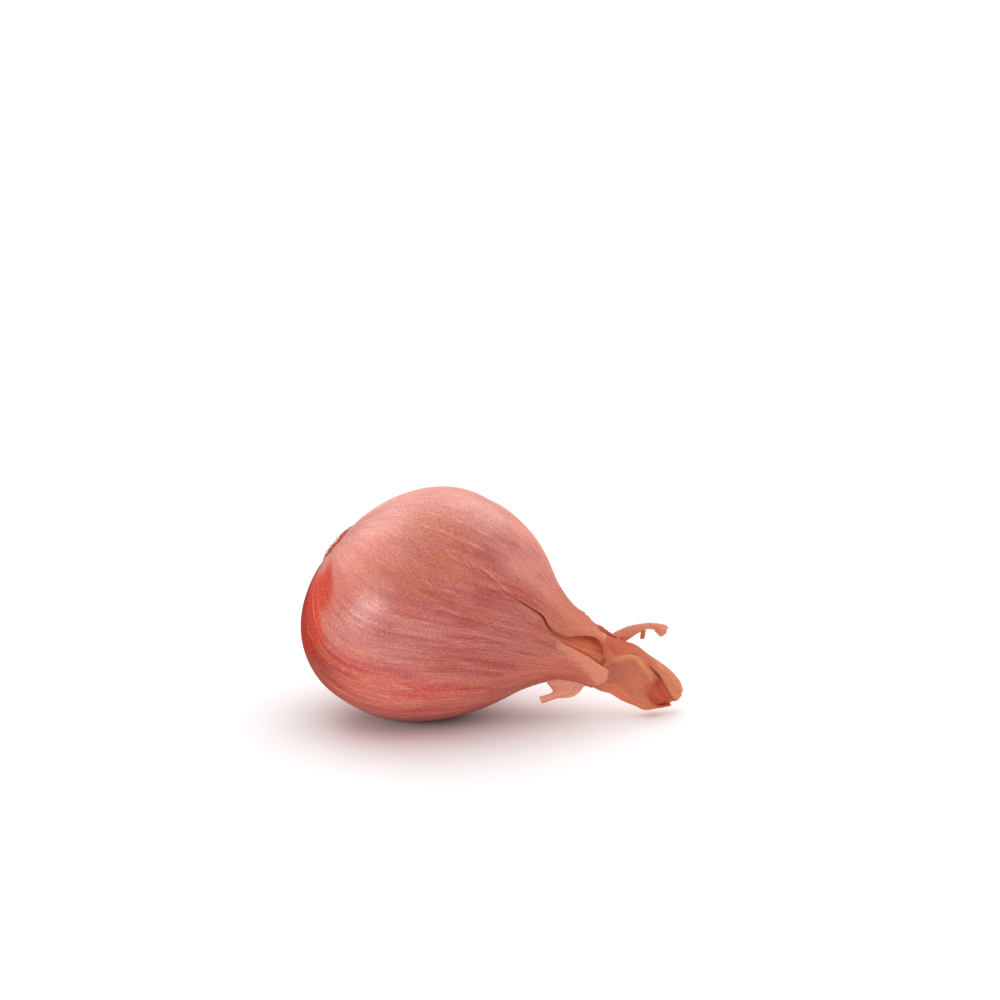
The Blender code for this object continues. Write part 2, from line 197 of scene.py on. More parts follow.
# How far the dry paper keeps off the floor.
LEAST_HEIGHT = 0.05
# The bulb's torn rim along the axis, how far it bends in there, and its gap to the skin.
BULB_RIM, BULB_BEND, BULB_GAP = 33.5, 2.2, 0.22


def smooth(value):
    """0 up to 0, 1 from 1 on, and an easy step between."""
    value = min(max(value, 0), 1)
    return value * value * (3 - 2 * value)


def rise(value, start, width):
    """0 up to start, and 1 once value is width past it."""
    return smooth((value - start) / width)


def fall(value, stop, width):
    """1 until value is width short of stop, and 0 from stop on."""
    return smooth((stop - value) / width)


def band(value, start, rise_width, stop, fall_width):
    """1 between start and stop, with a soft step just inside each."""
    return rise(value, start, rise_width) * fall(value, stop, fall_width)


def bell(distance, width):
    return exp(-(distance / width) ** 2)


def signed_angle(degrees):
    return (degrees + 180) % 360 - 180


def ripple(x, y, z):
    """Smooth noise between about -1 and 1, the same on every run."""
    return noise.noise(Vector((x, y, z)))


def ridged(x, y, z):
    """Noise with sharp crests, like the folds of crumpled paper."""
    return 1 - 2 * abs(ripple(x, y, z))


def ring_ripple(angle, count, phase):
    """Noise round a ring, with more waves for a larger count."""
    return ripple(cos(angle) * count, sin(angle) * count, phase)


def through(points, x):
    """A smooth curve through (x, y) points, level beyond both ends."""
    if x <= points[0][0]:
        return points[0][1]
    if x >= points[-1][0]:
        return points[-1][1]
    index = next(i for i in range(1, len(points)) if x <= points[i][0])
    before, start, stop, after = (points[max(index - 2, 0)], points[index - 1], points[index],
                                  points[min(index + 1, len(points) - 1)])
    span = stop[0] - start[0]
    slope_in = (stop[1] - before[1]) / (stop[0] - before[0]) * span
    slope_out = (after[1] - start[1]) / (after[0] - start[0]) * span
    t = (x - start[0]) / span
    return ((2 * t ** 3 - 3 * t ** 2 + 1) * start[1] + (t ** 3 - 2 * t ** 2 + t) * slope_in
            + (3 * t ** 2 - 2 * t ** 3) * stop[1] + (t ** 3 - t ** 2) * slope_out)


def direction(pitch, yaw):
    """A unit vector, +X when both angles are 0."""
    level = cos(pitch)
    return Vector((level * cos(yaw), level * sin(yaw), sin(pitch)))


def walk_axis(sign):
    """Axis points from the belly's centre outwards, one every AXIS_STEP."""
    point = BELLY_CENTRE.copy()
    walked = [point.copy()]
    for step in range(round(AXIS_REACH / AXIS_STEP)):
        s = sign * (step + 0.5) * AXIS_STEP
        pitch = radians(through(AXIS_PITCH, s))
        point = point + sign * AXIS_STEP * direction(pitch, NECK_YAW * rise(s, -10, 22))
        walked.append(point.copy())
    return walked


AHEAD, BEHIND = walk_axis(1), walk_axis(-1)


def axis_point(s):
    walked = AHEAD if s >= 0 else BEHIND
    place = abs(s) / AXIS_STEP
    index = min(int(place), len(walked) - 2)
    return walked[index].lerp(walked[index + 1], place - index)


def ring_frame(s):
    """Along, towards -Y and up, for the section at s."""
    turn = rise(s, -14, 45)
    along = direction(RING_PITCH_ROOT + (RING_PITCH_NECK - RING_PITCH_ROOT) * turn, NECK_YAW * turn)
    side = along.cross(Vector((0, 0, 1))).normalized()
    return along, side, side.cross(along)


def round_axis(angle, side, up):
    """The direction at an angle from side, turning towards up."""
    return cos(angle) * side + sin(angle) * up


def radius(s):
    if s < 0:
        left = max(1 - abs(s / ROOT_LENGTH) ** ROOT_ROUNDNESS, 0)
        return BELLY_RADIUS * left ** (1 / ROOT_ROUNDNESS)
    return through(PROFILE, s)


def surface_point(s, degrees, inset, scale=1):
    """A point of the bulb's surface, inset along its normal, and level where it meets the floor."""
    low, high = max(s - SLOPE_STEP, -ROOT_LENGTH), s + SLOPE_STEP
    slope = (radius(high) - radius(low)) / (high - low)
    normal_length = sqrt(1 + slope * slope)
    at = s + inset * slope / normal_length
    if s < 0:
        at += DIMPLE_DEPTH * smooth(1 - radius(s) / DIMPLE_RADIUS)
    r = (radius(s) - inset / normal_length) * scale
    _, side, up = ring_frame(at)
    point = axis_point(at) + r * round_axis(radians(degrees), side, up)
    point.z = max(point.z, inset, 0)
    return point


MOUTH_CENTRE = axis_point(MOUTH)
MOUTH_AXES = ring_frame(MOUTH)


def edge_point(edge, place):
    """A point on a smooth curve through an edge's points; place counts along them."""
    along, side, up = MOUTH_AXES
    ahead, side_offset, up_offset = [through([(i, point[k]) for i, point in enumerate(edge)], place)
                                     for k in range(3)]
    return MOUTH_CENTRE + ahead * along + side_offset * side + up_offset * up


def edges_direction(edges, place):
    """The way that two edges run at a place, as a short step along both."""
    ahead, behind = [edge_point(edges[0], place + step) + edge_point(edges[1], place + step)
                     for step in (0.05, -0.05)]
    return ahead - behind


# ---- how the skin is marked ----
def fibre_angle(s, degrees):
    """Which fibre passes here: on the side and under it they bow upwards past the belly."""
    low = band(signed_angle(degrees), -165, 60, 40, 60)
    bow = rise(s, -12, 24) - 1.25 * rise(s, 12, 18)
    return degrees - 20 * low * bow


def fibre_place(s, degrees):
    """Texture place: x and y turn with the fibre round the axis, z runs along it."""
    angle = radians(fibre_angle(s, degrees))
    return Vector((cos(angle), sin(angle), s / FIBRE_ALONG))


def patch(s, degrees, spot):
    """An oval patch of the skin: its strength in the middle, and 0 from its edge outwards."""
    strength, middle, middle_angle, half_length, half_turn = spot
    across = signed_angle(degrees - middle_angle) / half_turn
    return strength * smooth(1 - hypot((s - middle) / half_length, across))


def skin_tone(s, degrees):
    """How pale the skin is from painted light on top and a painted highlight near the root end, and
    how orange and how red it is here.
    """
    turn = signed_angle(degrees)
    arc = s if s > 0 else -ROOT_LENGTH * asin(min(-s / ROOT_LENGTH, 1))
    # Painted light: paler on top and towards the neck on the upper side, with a painted highlight
    # near the root end.
    pale = max(band(turn, 60, 25, 150, 40), patch(arc, degrees, PAINTED_HIGHLIGHT_PATCH),
               0.7 * rise(s, 6, 9) * rise(turn, 40, 16))
    orange = min(max(patch(s, degrees, spot) for spot in ORANGE_PATCHES), MOST_ORANGE)
    ragged = 1.6 * ripple(turn / 9, arc / 6, 8)
    red = smooth((through(RED_EDGE, turn) + ragged - arc) / 4.5 + 0.5)
    red *= rise(turn, -165, 40) * rise(arc, -21, 4.5)
    pale *= 1 - 0.9 * red
    return pale, orange, max(red, *(patch(s, degrees, spot) for spot in RED_PATCHES))


def skin_shade(s, degrees):
    """Mauve below the belly, partly the skin's own colour and partly painted shade and a painted
    floor reflection, and the painted light or painted shade that lightens or darkens the skin here.
    """
    turn = signed_angle(degrees)
    mauve_shade_and_reflection = band(turn, -170, 60, -46, 20) * rise(s, -4, 9)
    # Painted shade below the root end and on top towards the neck; painted light in the patches.
    painted_shade_below = 1.6 * band(turn, -170, 70, -26, 24) * fall(s, 1, 7)
    painted_shade_neckwards = 0.7 * band(turn, 62, 20, 170, 50) * rise(s, 19, 6)
    light = sum(patch(s, degrees, spot) for spot in PAINTED_LIGHT_PATCHES)
    return mauve_shade_and_reflection, light - painted_shade_below - painted_shade_neckwards


def skin_gloss(s, degrees):
    """How silky the skin is here: matt below the root end, duller on top and neckwards."""
    turn = signed_angle(degrees)
    matt = band(turn, -175, 60, -12, 26) * fall(s, 6, 9)
    top = band(turn, 60, 25, 175, 50) * rise(s, 4, 6)
    duller = 0.45 * max(top, rise(s, 3, 8))
    return (1 - matt) * (1 - duller) * (1 - patch(s, degrees, DULL_PATCH))


def seam_relief(s, degrees):
    """Height of the raised hair line that leads to the split, and the strength of the painted
    shadow just below it.
    """
    if not SEAM_LINE[0][0] < s < SPLIT_START:
        return 0, 0
    across = radians(degrees - through(SEAM_LINE, s)) * radius(s)
    grown = rise(s, SEAM_LINE[0][0], 5)
    return 0.09 * grown * bell(across, 0.26), grown * bell(across + 0.3, 0.16)


def light_lines(s, degrees):
    """Strength of the single light veins, and of the light hair line on the seam, here."""
    strongest = 0
    for line in LIGHT_VEINS + (SEAM_LINE,):
        if line[0][0] < s < line[-1][0]:
            across = radians(signed_angle(degrees - through(line, s))) * radius(s)
            ends = band(s, line[0][0], 3, line[-1][0] + 0.6, 3)
            strength = SEAM_STRENGTH if line is SEAM_LINE else VEIN_STRENGTH
            strongest = max(strongest, strength * ends * bell(across, VEIN_WIDTH))
    return strongest


def skin_relief(s, degrees):
    """Height of the skin over the plain form: ribs along its fibres, and shallow dents."""
    x, y, z = fibre_place(s, degrees)
    ribs = (0.050 * ripple(x * 5, y * 5, z * 0.8)
            + 0.028 * ripple(x * 13, y * 13, z * 1.2 + 7)
            + 0.012 * ripple(x * 30, y * 30, z * 2.5 + 3))
    dents = 0.10 * ripple(x * 1.7, y * 1.7, z * 1.6 + 11)
    return rise(s, -ROOT_LENGTH, 3) * (ribs + dents) - 0.05


# ---- building meshes ----
# Besides real colour, tone, wear and shade carry painted light, painted shade and a painted floor
# reflection.
MARKS = ("fibre", "tone", "wear", "lines", "shade")


def start_mesh():
    """An empty mesh in the making, and its layers for the marks."""
    builder = bmesh.new()
    return builder, [builder.verts.layers.float_vector.new(mark) for mark in MARKS]


def sheet(name, columns, rows, place, closed=False):
    """A sheet of quads: place(across, along) gives a point in mm and then its marks in order."""
    builder, layers = start_mesh()
    bmesh.ops.create_grid(builder, x_segments=columns, y_segments=rows, size=0.5)
    for vertex in builder.verts:
        point, *marks = place(vertex.co.x + 0.5, vertex.co.y + 0.5)
        vertex.co = point * MM
        for layer, mark in zip(layers, marks):
            vertex[layer] = mark
    if closed:
        bmesh.ops.remove_doubles(builder, verts=builder.verts, dist=0.004 * MM)
    return object_from(builder, name)


def object_from(builder, name):
    """Ends a mesh in the making and puts it in the scene."""
    bmesh.ops.recalc_face_normals(builder, faces=builder.faces)
    mesh = bpy.data.meshes.new(name)
    builder.to_mesh(mesh)
    builder.free()
    mesh.shade_smooth()
    return placed(name, mesh)


def placed(name, data):
    """An object in the scene that shows the data."""
    thing = bpy.data.objects.new(name, data)
    bpy.context.scene.collection.objects.link(thing)
    return thing


def thicken(thing, thickness, offset=-1):
    """Gives a sheet its thickness: inwards, or to both sides for an offset of 0."""
    shell = thing.modifiers.new("thickness", "SOLIDIFY")
    shell.thickness = thickness
    shell.offset = offset
    shell.use_even_offset = False


def hand_over(thing, finish, node):
    """Gives a piece its material, and its place in the frame."""
    thing.data.materials.append(finish)
    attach(thing, "root")
    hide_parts(node)
    if body_of(thing) != ["root"]:
        raise RuntimeError(thing.name + " does not ride on the root body")


# ---- materials ----
class Bench:
    """Places nodes in one tree, left to right, and joins them."""

    def __init__(self, tree):
        self.tree = tree
        self.tree.nodes.clear()
        self.count = 0
        self.fibre = None

    def node(self, kind, feeds=None, **settings):
        made = self.tree.nodes.new(kind)
        made.location = (220 * (self.count // 4), -260 * (self.count % 4))
        self.count += 1
        for key, value in settings.items():
            setattr(made, key, value)
        for socket, value in (feeds or {}).items():
            self.feed(made.inputs[socket], value)
        return made

    def feed(self, socket, value):
        if isinstance(value, bpy.types.NodeSocket):
            self.tree.links.new(value, socket)
        elif socket.type == "RGBA" and len(value) == 3:
            socket.default_value = (*value, 1)
        else:
            socket.default_value = value

    def maths(self, operation, first, second=0, clamp=False):
        return self.node("ShaderNodeMath", {0: first, 1: second}, operation=operation,
                         use_clamp=clamp).outputs[0]

    def times(self, first, second, clamp=False):
        return self.maths("MULTIPLY", first, second, clamp)

    def plus(self, first, second, clamp=False):
        return self.maths("ADD", first, second, clamp)

    def minus(self, first, second, clamp=False):
        return self.maths("SUBTRACT", first, second, clamp)

    def between(self, value, low, high, start=0, stop=1):
        """A smooth step of value from low to high, given as start to stop."""
        return self.node("ShaderNodeMapRange", {0: value, 1: low, 2: high, 3: start, 4: stop},
                         interpolation_type="SMOOTHSTEP").outputs[0]

    def triple(self, x, y, z):
        return self.node("ShaderNodeCombineXYZ", {0: x, 1: y, 2: z}).outputs[0]

    def parts(self, vector):
        return self.node("ShaderNodeSeparateXYZ", {0: vector}).outputs

    def mark(self, name):
        return self.node("ShaderNodeAttribute", attribute_name=name).outputs["Vector"]

    def marks(self, name):
        return self.parts(self.mark(name))

    def speckle(self, vector, scale, detail=2, roughness=0.5):
        return self.node("ShaderNodeTexNoise", {"Vector": vector, "Scale": scale, "Detail": detail,
                                                "Roughness": roughness}).outputs[0]

    def effect(self, group, **feeds):
        """A shared effect laid along the fibres; feeds go by the names of its other sockets."""
        self.fibre = self.fibre or self.mark("fibre")
        feeds["Fibre"] = self.fibre
        return self.node("ShaderNodeGroup", feeds, node_tree=group).outputs[0]

    def tint(self, share, under, over, blend="MIX"):
        return self.node("ShaderNodeMix", {0: share, 6: under, 7: over}, data_type="RGBA",
                         blend_type=blend).outputs[2]

    def layered(self, colour, *layers):
        """A colour with others laid over it in turn, each with its own share."""
        for share, over in layers:
            colour = self.tint(share, colour, over)
        return colour

    def lit(self, colour, light):
        """A colour made lighter or darker by a number."""
        return self.tint(1, colour, self.triple(light, light, light), "MULTIPLY")

    def bump(self, strength, distance, height):
        return self.node("ShaderNodeBump", {"Strength": strength, "Distance": distance,
                                            "Height": height}).outputs[0]

    def surface(self, feeds):
        """The surface itself, fed by the names of its sockets, and its way out of the tree."""
        shader = self.node("ShaderNodeBsdfPrincipled", feeds)
        output = self.node("ShaderNodeOutputMaterial", {0: shader.outputs[0]})
        shader.location, output.location = (2400, 0), (2700, 0)


def effect_group(name, output, fill, **defaults):
    """A shared effect: the fibre place and some numbers go in, and fill makes its one number."""
    if name in bpy.data.node_groups:
        return bpy.data.node_groups[name]
    group = bpy.data.node_groups.new(name, "ShaderNodeTree")
    bench = Bench(group)
    group.interface.new_socket("Fibre", in_out="INPUT", socket_type="NodeSocketVector")
    for socket, default in defaults.items():
        made = group.interface.new_socket(socket, in_out="INPUT", socket_type="NodeSocketFloat")
        made.default_value = default
    group.interface.new_socket(output, in_out="OUTPUT", socket_type="NodeSocketFloat")
    entry = group.nodes.new("NodeGroupInput")
    exit_node = group.nodes.new("NodeGroupOutput")
    entry.location, exit_node.location = (-300, 0), (1600, 0)
    counts = bench.triple(entry.outputs["Around"], entry.outputs["Around"], entry.outputs["Along"])
    stretched = bench.node("ShaderNodeVectorMath", {0: entry.outputs["Fibre"], 1: counts},
                           operation="MULTIPLY").outputs[0]
    bench.feed(exit_node.inputs[output], fill(bench, stretched, entry.outputs))
    return group


def fibre_streaks():
    """Short light and dark dashes lying along the fibres, centred on one half."""
    def fill(bench, place, entry):
        grain = bench.speckle(place, 1, 3, 0.62)
        spread = bench.times(bench.minus(grain, 0.5), entry["Contrast"])
        return bench.plus(spread, 0.5, clamp=True)

    return effect_group("fibre streaks", "Streaks", fill, Around=70, Along=9, Contrast=1)


def fibre_veins():
    """Thin veins that run along the fibres and fork here and there."""
    def fill(bench, place, entry):
        level = bench.speckle(place, 1, 1.5, 0.45)
        off_level = bench.maths("ABSOLUTE", bench.minus(level, 0.5))
        line = bench.minus(1, bench.maths("DIVIDE", off_level, entry["Width"]), clamp=True)
        return bench.times(line, bench.between(bench.speckle(place, 2.3, 1), 0.38, 0.58))

    return effect_group("fibre veins", "Veins", fill, Around=9, Along=1, Width=0.02)


def blotches():
    """Slow clouds of colour, a little stretched along the fibres."""
    def fill(bench, place, entry):
        cloud = bench.between(bench.speckle(place, 1, 2, 0.5), 0.36, 0.66)
        return bench.times(cloud, entry["Amount"], clamp=True)

    return effect_group("blotches", "Mask", fill, Around=4, Along=2, Amount=1)


def torn_edge_wear():
    """Where a torn edge is dry and pale, broken up by the fibres."""
    def fill(bench, place, entry):
        broken = bench.between(bench.speckle(place, 1, 2), 0.25, 0.65)
        near = bench.times(entry["Nearness"], bench.plus(broken, 0.35))
        return bench.times(near, entry["Amount"], clamp=True)

    return effect_group("torn edge wear", "Mask", fill, Around=26, Along=5, Nearness=0,
                        Amount=1)


def start_finish(name):
    made = bpy.data.materials.new(name)
    made.use_nodes = True
    return made, Bench(made.node_tree)


def dry_skin(skin):
    """The papery outer skin: rose with red and orange bands, pale on top from painted light, tan
    where it is torn, with painted light and shade, a painted floor reflection below and painted
    shadow by the split.
    """
    made, bench = start_finish("dry_skin")
    pale, orange, red = bench.marks("tone")
    edge, flap, shaded_crease = bench.marks("wear")
    single_veins, cuff, gloss = bench.marks("lines")
    # Mauve with painted shade and floor reflection, the folded flap's end, and painted light and
    # shade.
    mauve_shade_and_reflection, tongue, lighter = bench.marks("shade")
    wide_bands = bench.effect(blotches(), Around=6.5, Along=1.9)
    narrow_bands = bench.effect(blotches(), Around=19, Along=2.4)
    clouds = bench.effect(blotches(), Around=3, Along=2.6)
    fine = bench.effect(fibre_streaks(), Around=130, Along=62, Contrast=2.6)
    coarse = bench.effect(fibre_streaks(), Around=48, Along=7, Contrast=1.8)
    many_veins = bench.effect(fibre_veins(), Around=11, Along=0.8, Width=0.014)
    dark_hairs = bench.effect(fibre_veins(), Around=24, Along=2.6, Width=0.016)
    torn = bench.effect(torn_edge_wear(), Nearness=edge, Amount=0.8)
    broken = bench.times(single_veins, bench.between(coarse, 0.3, 0.7, 0.15, 0.75))
    veins = bench.maths("MAXIMUM", many_veins, broken)
    frayed = bench.times(bench.minus(coarse, 0.5), 0.6)
    tan = bench.maths("MAXIMUM", flap, torn)
    redness = bench.times(red, bench.plus(bench.times(wide_bands, 0.6), 0.65), clamp=True)
    painted_top_light = bench.times(pale, bench.plus(bench.times(clouds, 0.4), 0.6), clamp=True)

    colour = bench.layered(
        skin.rose,
        (wide_bands, skin.deep_rose),
        (bench.times(narrow_bands, 0.6), skin.coral),
        (redness, skin.red),
        # Mauve below the belly: partly the skin's own colour, partly painted shade and a painted
        # floor reflection.
        (bench.times(mauve_shade_and_reflection, 0.7), skin.mauve_shade_and_reflection),
        (bench.times(orange, bench.plus(clouds, 0.5), clamp=True), skin.orange),
        # Painted light on top, and a painted highlight near the root end.
        (painted_top_light, skin.pale),
        (bench.times(tan, 0.85), skin.tan),
        (bench.times(bench.between(bench.plus(cuff, frayed), 0.1, 1), 0.9), skin.cuff),
        (tongue, skin.tongue),
        (bench.times(veins, 0.5), skin.vein),
        (bench.between(fine, 0.62, 0.9, 0, 0.25), skin.vein),
        (bench.times(dark_hairs, 0.22), skin.shade))
    grain = bench.times(bench.between(fine, 0.2, 0.8, 0.85, 1.13),
                        bench.between(coarse, 0.2, 0.8, 0.96, 1.04))
    # Painted light and painted shade: the colours made lighter or darker over the skin.
    light = bench.times(grain, bench.plus(1, bench.times(lighter, 0.22)))
    # Painted shadow below the hair line and along the lower lip, in the shade colour.
    colour = bench.tint(bench.times(shaded_crease, 0.8), bench.lit(colour, light), skin.shade)

    grained = bench.times(bench.between(fine, 0.25, 0.75, 0.55, 1),
                          bench.between(coarse, 0.25, 0.75, 0.82, 1))
    silky = bench.times(bench.times(gloss, bench.between(tan, 0, 1, 1, 0.4)),
                        bench.between(red, 0, 1, 1, 0.2))
    height = bench.plus(bench.times(fine, 0.5),
                        bench.plus(bench.times(coarse, 0.4), bench.times(veins, 0.6)))
    bench.surface({"Base Color": colour, "Roughness": bench.between(fine, 0.2, 0.8, 0.42, 0.56),
                   "Specular IOR Level": 0, "Coat Weight": bench.times(silky, grained),
                   "Coat Roughness": 0.39, "Coat IOR": 2.05,
                   "Normal": bench.bump(0.35, 0.00005, height)})
    return made


def inner_scale(skin):
    """The next scale down, seen through the split: orange brown, glossier, with dark hairs and
    painted shade inside its hollow.
    """
    made, bench = start_finish("inner_scale")
    edge, _, shaded_crease = bench.marks("wear")
    fine = bench.effect(fibre_streaks(), Around=60, Along=9, Contrast=2.4)
    bands = bench.effect(blotches(), Around=12, Along=1.4)
    hairs = bench.effect(fibre_veins(), Around=20, Along=3, Width=0.02)
    torn = bench.effect(torn_edge_wear(), Nearness=edge, Amount=0.7)
    colour = bench.layered(skin.inner, (bands, skin.inner_light),
                           (bench.times(hairs, 0.5), skin.shade))
    colour = bench.lit(colour, bench.between(fine, 0.2, 0.8, 0.92, 1.08))
    # Painted shade inside the hollow.
    colour = bench.layered(colour, (torn, skin.tan), (shaded_crease, skin.shade))
    bench.surface({"Base Color": colour, "Roughness": bench.between(fine, 0.2, 0.8, 0.38, 0.5),
                   "Normal": bench.bump(0.5, 0.00006, fine)})
    return made


def withered_paper(name, neck, bump_distance, plain, deep, light):
    """Dry paper: tan, with a painted glow where it is thin, grey brown in its flat folds, painted
    light on its lit faces, and painted shade above the ridge, in its creases and in its open end.
    """
    made, bench = start_finish(name)
    light_face, glow, recess_shade = bench.marks("tone")
    edge, dusk, shaded_crease = bench.marks("wear")
    sheltered = bench.marks("shade")[0]
    fine = bench.effect(fibre_streaks(), Around=100, Along=14, Contrast=2.2)
    coarse = bench.effect(fibre_streaks(), Around=34, Along=4, Contrast=2)
    clouds = bench.effect(blotches(), Around=9, Along=3)
    hairs = bench.effect(fibre_veins(), Around=20, Along=2.2, Width=0.022)
    torn = bench.effect(torn_edge_wear(), Nearness=edge, Amount=0.6)
    # Painted light on lit faces, a painted glow on thin edges, painted shade above the ridge and in
    # the open end.
    colour = bench.layered(
        plain, (clouds, deep), (sheltered, neck.fold), (light_face, light), (glow, neck.glow),
        # Painted shade inside the neck's open end and the strips' folds.
        (dusk, neck.dusk), (recess_shade, neck.recess_shade), (torn, neck.edge),
        (bench.times(hairs, 0.22), neck.hair))
    grain = bench.times(bench.between(fine, 0.2, 0.8, 0.93, 1.07),
                        bench.between(coarse, 0.2, 0.8, 0.93, 1.06))
    # Painted shade in the creases and the slit, in the hair colour.
    colour = bench.tint(bench.times(shaded_crease, 0.85), bench.lit(colour, grain), neck.hair)
    height = bench.plus(fine, bench.times(coarse, 1.4))
    bench.surface({"Base Color": colour, "Roughness": bench.between(coarse, 0.2, 0.8, 0.5, 0.68),
                   "Specular IOR Level": 0.35, "Normal": bench.bump(0.35, bump_distance, height)})
    return made


def cork(name, roots, fibrous):
    """The corky root plate, and the straw of its dried roots."""
    made, bench = start_finish(name)
    place = bench.node("ShaderNodeTexCoord").outputs["Object"]
    clumps = bench.speckle(place, 1400, 3, 0.6)
    grit = bench.speckle(place, 5200, 2, 0.6)
    dark, light = (roots.straw_dark, roots.straw) if fibrous else (roots.cork_dark, roots.cork)
    colour = bench.tint(bench.between(clumps, 0.35, 0.65), dark, light)
    if fibrous:
        _, length, shade = bench.marks("tone")
        colour = bench.layered(colour, (shade, roots.cork),
                               (bench.between(length, 0.75, 1), roots.straw_tip))
    colour = bench.tint(bench.between(grit, 0.45, 0.7, 0, 0.5), colour, roots.cork_dark)
    bench.surface({"Base Color": colour, "Roughness": bench.between(grit, 0.3, 0.7, 0.75, 0.95),
                   "Normal": bench.bump(0.8, 0.00008, clumps)})
    return made


def pale_ground():
    """The plain pale floor, with a very faint unevenness in its gloss."""
    made, bench = start_finish("pale_ground")
    cloud = bench.speckle(bench.node("ShaderNodeTexCoord").outputs["Object"], 9)
    colour = bench.tint(bench.between(cloud, 0.3, 0.7), (0.90, 0.90, 0.90), (0.93, 0.925, 0.93))
    bench.surface({"Base Color": colour, "Roughness": bench.between(cloud, 0.3, 0.7, 0.7, 0.8),
                   "Specular IOR Level": 0.2})
    return made


# ---- the pieces ----
def row_distance(row, end):
    """How far along the axis a row lies: even steps over the round root end, then on to end."""
    if row < BEHIND_ROWS:
        return -ROOT_LENGTH * sin(ROOT_HOLE_ANGLE * (1 - row / BEHIND_ROWS))
    row -= BEHIND_ROWS
    if row < SHOULDER_ROWS:
        return SPLIT_START * row / SHOULDER_ROWS
    left = SKIN_ROWS - BEHIND_ROWS - SHOULDER_ROWS
    return SPLIT_START + (end - SPLIT_START) * (row - SHOULDER_ROWS) / left


def skin_angle(share, s):
    """The angle of a column: the columns run from the upper lip right round to the lower lip."""
    upper = through(UPPER_LIP, s)
    return upper + (through(LOWER_LIP, s) + 360 - upper) * share


def mouth_distance(share):
    """Where a column meets the ragged edge of the mouth, closed in on by turns."""
    end = MOUTH
    for _ in range(MOUTH_ROUNDS):
        degrees = skin_angle(share, end)
        end = through(MOUTH_EDGE, degrees)
    turn = radians(degrees)
    return end + (0.28 * ring_ripple(turn, 4, 0.5) + 0.16 * ring_ripple(turn, 11, 2.5)
                  + 0.08 * ring_ripple(turn, 27, 4.5))


def add_skin(settings):
    """The outer skin, from round the roots to its torn mouth, open along the split."""
    shares = [t / SKIN_COLUMNS - COLUMN_CROWDING * sin(2 * pi * t / SKIN_COLUMNS)
              for t in range(SKIN_COLUMNS + 1)]
    ends = [mouth_distance(share) for share in shares]

    def place(across, along):
        column = round(across * SKIN_COLUMNS)
        share, end = shares[column], ends[column]
        s = row_distance(round(along * SKIN_ROWS), end)
        degrees = skin_angle(share, s)
        turn = signed_angle(degrees)
        split = rise(s, SPLIT_START, 0.5)
        from_upper = radians(degrees - through(UPPER_LIP, s)) * radius(s)
        from_lower = radians(through(LOWER_LIP, s) + 360 - degrees) * radius(s)
        from_mouth = end - s

        frayed = 0.35 * ripple(s * 1.3, 2, 0) + 0.2 * ripple(s * 3.7, 5, 0)
        cuff = fall(from_lower, through(CUFF_WIDTH, s) + frayed + 1.7, 3.4) * rise(s, 23.5, 2.5)
        raised, dark = seam_relief(s, degrees)
        lift = (fall(from_upper, 2.4, 2.4) * through(UPPER_LIFT, s)
                + fall(from_lower, 2, 2) * through(LOWER_LIFT, s)
                + 0.25 * fall(from_mouth, 1.5, 1.5) * ripple(share * 31, 0, 5)
                + skin_relief(s, degrees) + raised - 0.08 * cuff
                - 0.6 * band(share, 0.1, 0.15, 0.55, 0.15) * rise(s, 33.5, 2.5))

        nearest = min(min(from_upper, from_lower) + 9 * (1 - split), from_mouth)
        edge = exp(-max(nearest, 0) / 0.45)
        lip_shadow = 0.6 * split * bell(from_lower, 0.2) * fall(s, 24.5, 3)
        tan = (0.4 + 0.45 * band(turn, 5, 25, 200, 40)) * rise(s, 16, 12)
        tongue = rise(s, 31, 0.8) * band(turn, 12, 4, 46, 8) * rise(from_mouth, 0.15, 0.4)
        # Painted shade and a painted floor reflection below, and painted light and shade over the
        # skin.
        mauve_shade_and_reflection, lighter = skin_shade(s, degrees)
        # Painted shadow below the hair line and along the lower lip, in the third wear mark.
        return (surface_point(s, degrees, -lift), fibre_place(s, degrees), skin_tone(s, degrees),
                (edge, tan, max(0.5 * dark, lip_shadow)),
                (light_lines(s, degrees), cuff, skin_gloss(s, degrees)), (mauve_shade_and_reflection, tongue, lighter))

    skin = sheet("skin_sheath", SKIN_COLUMNS, SKIN_ROWS, place, closed=True)
    thicken(skin, settings.skin.thickness)
    hand_over(skin, dry_skin(settings.skin), "outer_skin")


def add_bulb(settings):
    """The bulb in its inner scale, with a torn rim round the hollow that the neck comes out of."""
    gap = settings.skin.thickness / MM + BULB_GAP

    def place(across, along):
        degrees = 360 * across
        turn = radians(degrees)
        row = round(along * BULB_ROWS)
        rim = BULB_RIM + 0.35 * ring_ripple(turn, 5, 1)
        inwards = max(row - BULB_RIM_ROW, 0) / (BULB_ROWS - BULB_RIM_ROW)
        if row < BULB_BEHIND_ROWS:
            s = -ROOT_LENGTH * cos(pi / 2 * row / BULB_BEHIND_ROWS)
        else:
            s = rim * min((row - BULB_BEHIND_ROWS) / (BULB_RIM_ROW - BULB_BEHIND_ROWS), 1)
        s -= BULB_BEND * smooth(inwards * 2)
        dip = 1.3 * bell(signed_angle(degrees) - 108, 45) * rise(s, 25.5, 3)
        inset = gap + 0.35 * smooth(inwards * 8) + dip - 0.05 * ring_ripple(turn, 14, s / 14)
        edge = 0 if inwards else exp(-abs(rim - s) / 0.3)
        scale = sqrt(max(1 - inwards ** 2, 0))
        # The third wear mark is painted shade inside the hollow.
        return (surface_point(s, degrees, inset, scale), fibre_place(s, degrees), (0, 0, 0),
                (edge, 0, smooth(inwards * 4)))

    bulb = sheet("inner_bulb", BULB_COLUMNS, BULB_ROWS, place, closed=True)
    hand_over(bulb, inner_scale(settings.skin), "bulb")


